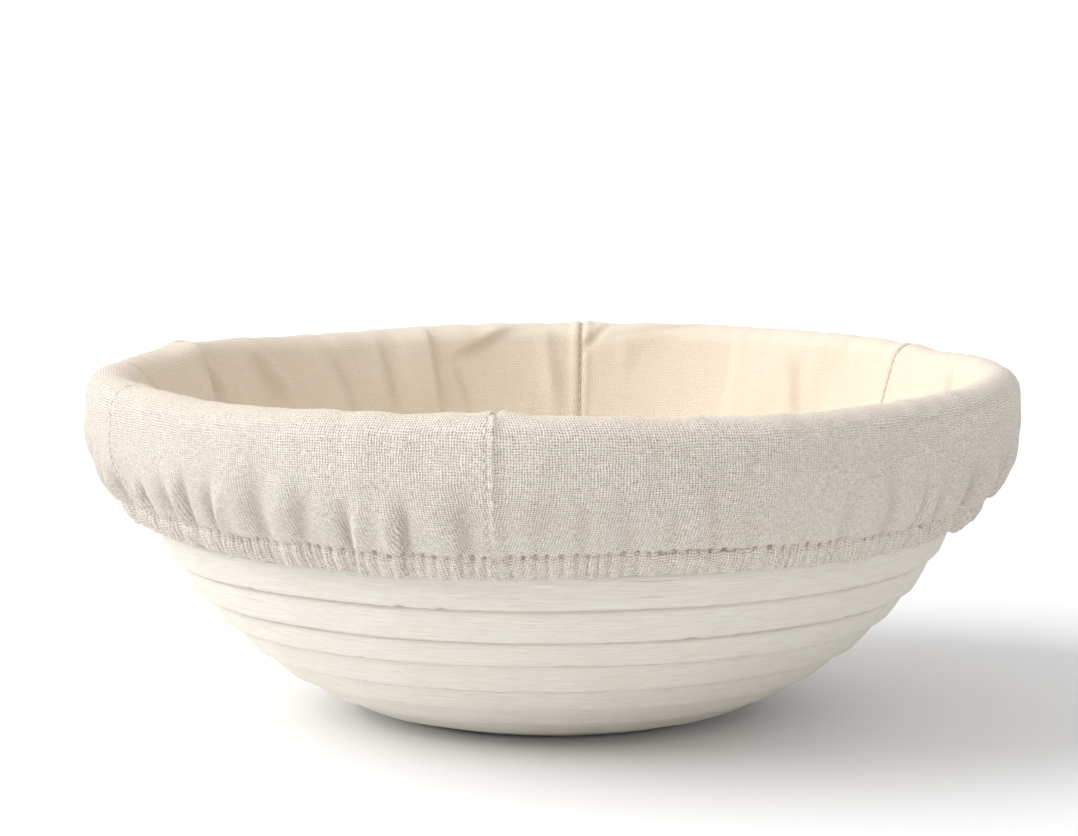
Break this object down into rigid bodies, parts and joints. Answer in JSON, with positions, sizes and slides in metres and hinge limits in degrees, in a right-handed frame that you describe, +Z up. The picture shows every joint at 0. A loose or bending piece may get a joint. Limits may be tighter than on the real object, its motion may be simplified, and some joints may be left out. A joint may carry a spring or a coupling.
{
  "type": "banneton basket",
  "caption": "Round bread proofing basket of spiral-wound half-round cane, with a removable cloth liner held under the rim by an elastic hem.",
  "frame": {"origin": "centre of the underside, on the surface that the basket stands on", "axes": "+Z up along the bowl's axis, the liner's front seam on the -Y side"},
  "size_m": [0.2356, 0.2356, 0.088],
  "materials": {
    "cane": "raw, dusted with flour",
    "pins": "raw bamboo",
    "liner_cloth": "unbleached plain-weave linen",
    "thread": "sewing thread",
    "elastic": "woven flat elastic"
  },
  "bodies": {
    "basket": {"base_cane": "cane", "foot_cane": "cane", "lower_wall_cane": "cane", "upper_wall_cane": "cane", "rim_cane": "cane", "base_pins": "pins", "foot_pins": "pins", "lower_wall_pins": "pins", "upper_wall_pins": "pins", "rim_pins": "pins"},
    "liner": {"lining_panel_1": "liner_cloth", "lining_panel_2": "liner_cloth", "lining_panel_3": "liner_cloth", "lining_panel_4": "liner_cloth", "lining_panel_5": "liner_cloth", "lining_panel_6": "liner_cloth", "skirt_panel_1": "liner_cloth", "skirt_panel_2": "liner_cloth", "skirt_panel_3": "liner_cloth", "skirt_panel_4": "liner_cloth", "skirt_panel_5": "liner_cloth", "skirt_panel_6": "liner_cloth", "lining_thread_1": "thread", "lining_thread_2": "thread", "lining_thread_3": "thread", "lining_thread_4": "thread", "lining_thread_5": "thread", "lining_thread_6": "thread", "skirt_thread_1": "thread", "skirt_thread_2": "thread", "skirt_thread_3": "thread", "skirt_thread_4": "thread", "skirt_thread_5": "thread", "skirt_thread_6": "thread", "elastic_band": "elastic", "hem_thread": "thread"}
  },
  "joints": [
    {"name": "liner_lift", "type": "slide", "parent": "basket", "child": "liner", "axis": [0, 0, 1], "range_m": [0, 0.1], "deforming": ["skirt_panel_1", "skirt_panel_2", "skirt_panel_3", "skirt_panel_4", "skirt_panel_5", "skirt_panel_6", "skirt_thread_1", "skirt_thread_2", "skirt_thread_3", "skirt_thread_4", "skirt_thread_5", "skirt_thread_6", "elastic_band", "hem_thread"]}
  ]
}
